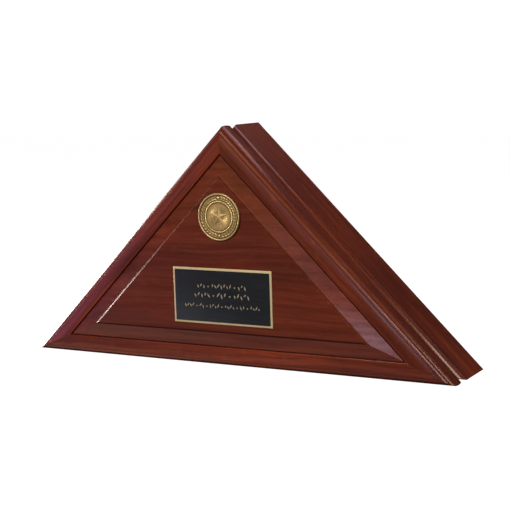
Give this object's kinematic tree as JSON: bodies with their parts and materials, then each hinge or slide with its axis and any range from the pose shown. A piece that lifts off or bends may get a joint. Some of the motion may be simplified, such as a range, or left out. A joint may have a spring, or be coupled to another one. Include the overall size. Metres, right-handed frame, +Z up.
{
  "type": "folded flag display case",
  "caption": "Triangular wooden case for a folded flag, with a hinged raised-panel front door that carries a name plate and a round medallion.",
  "frame": {"origin": "middle of the footprint, on the surface that the case stands on", "axes": "+X to the right along the base, the door's front faces -Y, +Z up"},
  "size_m": [0.6496, 0.1188, 0.3249],
  "materials": {
    "stained_wood": "red-brown stain under gloss varnish",
    "back_plywood": "stained plywood, satin",
    "key_wood": "bare",
    "brass": "polished, lacquered",
    "antique_brass": "struck and antiqued",
    "black_enamel": "satin black over brass",
    "steel": "zinc plated",
    "bumper": "soft, translucent"
  },
  "bodies": {
    "case": {"back_panel": "back_plywood", "back_screw_bottom_1": "steel", "back_screw_bottom_2": "steel", "back_screw_bottom_3": "steel", "back_screw_left_1": "steel", "back_screw_left_2": "steel", "back_screw_left_3": "steel", "back_screw_right_1": "steel", "back_screw_right_2": "steel", "back_screw_right_3": "steel", "case_apex_spline": "key_wood", "case_bottom_board": "stained_wood", "case_left_board": "stained_wood", "case_left_spline": "key_wood", "case_right_board": "stained_wood", "case_right_spline": "key_wood", "left_bumper": "bumper", "lower_catch_magnet": "steel", "lower_hinge_case_leaf": "brass", "lower_hinge_case_screw_1": "brass", "lower_hinge_case_screw_2": "brass", "lower_hinge_pin": "brass", "right_bumper": "bumper", "top_bumper": "bumper", "upper_catch_magnet": "steel", "upper_hinge_case_leaf": "brass", "upper_hinge_case_screw_1": "brass", "upper_hinge_case_screw_2": "brass", "upper_hinge_pin": "brass"},
    "door": {"door_apex_biscuit": "key_wood", "door_bottom_rail": "stained_wood", "door_left_biscuit": "key_wood", "door_left_stile": "stained_wood", "door_raised_panel": "stained_wood", "door_right_biscuit": "key_wood", "door_right_stile": "stained_wood", "lower_catch_strike": "steel", "lower_catch_strike_screw": "steel", "lower_hinge_door_leaf": "brass", "lower_hinge_door_screw_1": "brass", "lower_hinge_door_screw_2": "brass", "medallion": "antique_brass", "name_plate_backing": "brass", "name_plate_face": "black_enamel", "upper_catch_strike": "steel", "upper_catch_strike_screw": "steel", "upper_hinge_door_leaf": "brass", "upper_hinge_door_screw_1": "brass", "upper_hinge_door_screw_2": "brass"}
  },
  "joints": [
    {"name": "door_hinge", "type": "hinge", "parent": "case", "child": "door", "pos_m": [-0.1625, -0.01555, 0.1625], "axis": [-0.7071, 0, -0.7071], "range_deg": [0, 135]}
  ]
}
